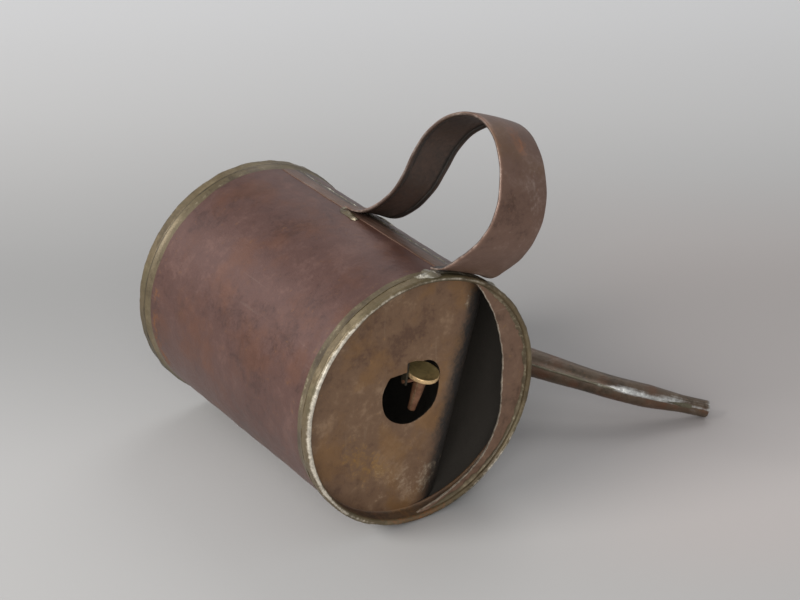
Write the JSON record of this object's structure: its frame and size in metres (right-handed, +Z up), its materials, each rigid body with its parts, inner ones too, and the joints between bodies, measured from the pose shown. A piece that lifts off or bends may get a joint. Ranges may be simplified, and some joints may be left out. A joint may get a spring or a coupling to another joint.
{
  "type": "watering can",
  "caption": "Small side-handled metal can lying on its side, with a long thin spout, strap handle, crescent splash guard and a small brass-headed swinging stopper in the filler hole.",
  "frame": {"origin": "on the floor, in the middle of the bounding box, with the can lying on both rims and its spout tip", "axes": "+Z up, +Y along the can's axis towards its base (the mouth faces -Y), +X towards the side the spout reaches to"},
  "size_m": [0.2094, 0.155, 0.1669],
  "materials": {
    "browned_sheet": "browned, mottled, dull",
    "plate_sheet": "brown-olive patina, dull",
    "handle_iron": "dark brown patina with rust",
    "spout_iron": "dark brown patina, worn on the seam",
    "tinned_rim": "aged tin, worn bright on the lip",
    "dull_solder": "dull old solder",
    "bright_solder": "worn solder",
    "brass_head": "tarnished, bright at the edge",
    "stem_iron": "brown, rusted"
  },
  "bodies": {
    "can": {"body_shell": "browned_sheet", "side_seam_lap": "browned_sheet", "side_seam_solder": "bright_solder", "base_plate": "browned_sheet", "base_rim_band": "tinned_rim", "base_rim_solder": "dull_solder", "top_plate": "plate_sheet", "top_rim_band": "tinned_rim", "top_rim_solder": "dull_solder", "splash_guard": "plate_sheet", "splash_guard_solder": "dull_solder", "handle_strap": "handle_iron", "handle_front_solder": "bright_solder", "handle_back_solder": "dull_solder", "spout_tube": "spout_iron", "spout_seam_solder": "bright_solder", "spout_root_solder": "dull_solder", "stopper_pin": "stem_iron", "stopper_bracket": "plate_sheet"},
    "stopper": {"stopper_head": "brass_head", "stopper_stem": "stem_iron"}
  },
  "joints": [
    {"name": "stopper_swing", "type": "hinge", "parent": "can", "child": "stopper", "pos_m": [-0.04454, -0.0506, 0.0602], "axis": [0.9903, 0, -0.1392], "range_deg": [-30, 90]}
  ]
}
